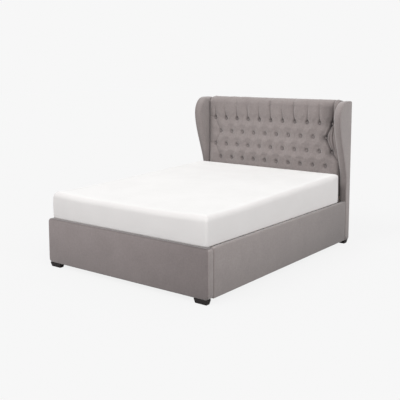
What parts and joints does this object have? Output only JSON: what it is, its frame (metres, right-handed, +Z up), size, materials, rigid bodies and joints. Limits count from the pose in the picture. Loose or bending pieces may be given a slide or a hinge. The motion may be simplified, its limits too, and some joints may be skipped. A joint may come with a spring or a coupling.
{
  "type": "ottoman storage bed",
  "caption": "Upholstered winged bed with a button-tufted headboard and a mattress platform that lifts on sprung arms over a storage box.",
  "frame": {"origin": "on the floor, under the middle of the bed's outline", "axes": "+Y towards the headboard, +Z up, +X to the right seen from the foot end"},
  "size_m": [1.6, 2.155, 1.3],
  "materials": {
    "upholstery_fabric": "warm grey plain weave",
    "frame_timber": "planed softwood",
    "storage_board": "smooth hardboard",
    "slat_timber": "clear-sealed birch",
    "black_plastic": "fine matt",
    "painted_steel": "satin powder coat",
    "strut_paint": "satin black",
    "bright_steel": "zinc plated",
    "webbing": "ribbed webbing",
    "mattress_cover": "white knit cover"
  },
  "bodies": {
    "bed_frame": {"headboard_posts": "frame_timber", "headboard_cross_rails": "frame_timber", "headboard_board": "frame_timber", "headboard_back_cover": "upholstery_fabric", "headboard_lower_panel": "upholstery_fabric", "tufted_pad": "upholstery_fabric", "tuft_buttons": "upholstery_fabric", "wing_pad_left": "upholstery_fabric", "wing_pad_right": "upholstery_fabric", "wing_board_left": "frame_timber", "wing_board_right": "frame_timber", "footboard_pad": "upholstery_fabric", "footboard_board": "frame_timber", "rail_pad_left": "upholstery_fabric", "rail_pad_right": "upholstery_fabric", "rail_board_left": "frame_timber", "rail_board_right": "frame_timber", "foot_front_left": "black_plastic", "foot_front_right": "black_plastic", "foot_rear_left": "black_plastic", "foot_rear_right": "black_plastic", "corner_brackets": "painted_steel", "corner_bolts": "bright_steel", "floor_batten_left": "frame_timber", "floor_batten_right": "frame_timber", "floor_end_battens": "frame_timber", "centre_rail": "frame_timber", "centre_glides": "black_plastic", "storage_floor_left": "storage_board", "storage_floor_right": "storage_board", "platform_rests": "frame_timber", "base_plate_left": "painted_steel", "base_plate_right": "painted_steel", "plate_screws": "bright_steel", "fixed_pins": "bright_steel"},
    "lift_arms": {"main_arm_left": "painted_steel", "main_arm_right": "painted_steel", "arm_pins": "bright_steel"},
    "control_links": {"control_link_left": "painted_steel", "control_link_right": "painted_steel", "link_pins": "bright_steel"},
    "strut_cylinders": {"strut_cylinder_left": "strut_paint", "strut_cylinder_right": "strut_paint"},
    "strut_rods": {"strut_rod_left": "bright_steel", "strut_rod_right": "bright_steel"},
    "platform": {"arm_bracket_left": "painted_steel", "arm_bracket_right": "painted_steel", "link_bracket_left": "painted_steel", "link_bracket_right": "painted_steel", "side_tube_left": "painted_steel", "side_tube_right": "painted_steel", "cross_tubes": "painted_steel", "centre_beam": "painted_steel", "slats_left": "slat_timber", "slats_right": "slat_timber", "slat_holders": "black_plastic", "mattress_stops": "bright_steel", "pull_strap": "webbing", "mattress": "mattress_cover"}
  },
  "joints": [
    {"name": "lift", "type": "hinge", "parent": "bed_frame", "child": "lift_arms", "pos_m": [0, 0.2875, 0.225], "axis": [1, 0, 0], "range_deg": [0, 60]},
    {"name": "platform_tilt", "type": "hinge", "parent": "lift_arms", "child": "platform", "pos_m": [0, 0.5635, 0.316], "axis": [1, 0, 0], "range_deg": [-92.4, 0]},
    {"name": "control_swing", "type": "hinge", "parent": "bed_frame", "child": "control_links", "pos_m": [0, 0.1885, 0.111], "axis": [1, 0, 0], "range_deg": [0, 50.7]},
    {"name": "strut_swing", "type": "hinge", "parent": "bed_frame", "child": "strut_cylinders", "pos_m": [0, 0.3625, 0.1], "axis": [1, 0, 0], "range_deg": [0, 29.9]},
    {"name": "strut_extend", "type": "slide", "parent": "strut_cylinders", "child": "strut_rods", "axis": [0, 0.3724, 0.9281], "range_m": [0, 0.0901]}
  ],
  "couplings": [
    {"joint": "platform_tilt", "follows": "lift", "ratio": -1.54},
    {"joint": "control_swing", "follows": "lift", "ratio": 0.845},
    {"joint": "strut_swing", "follows": "lift", "ratio": 0.4972},
    {"joint": "strut_extend", "follows": "lift", "m_per_rad": 0.0859}
  ]
}
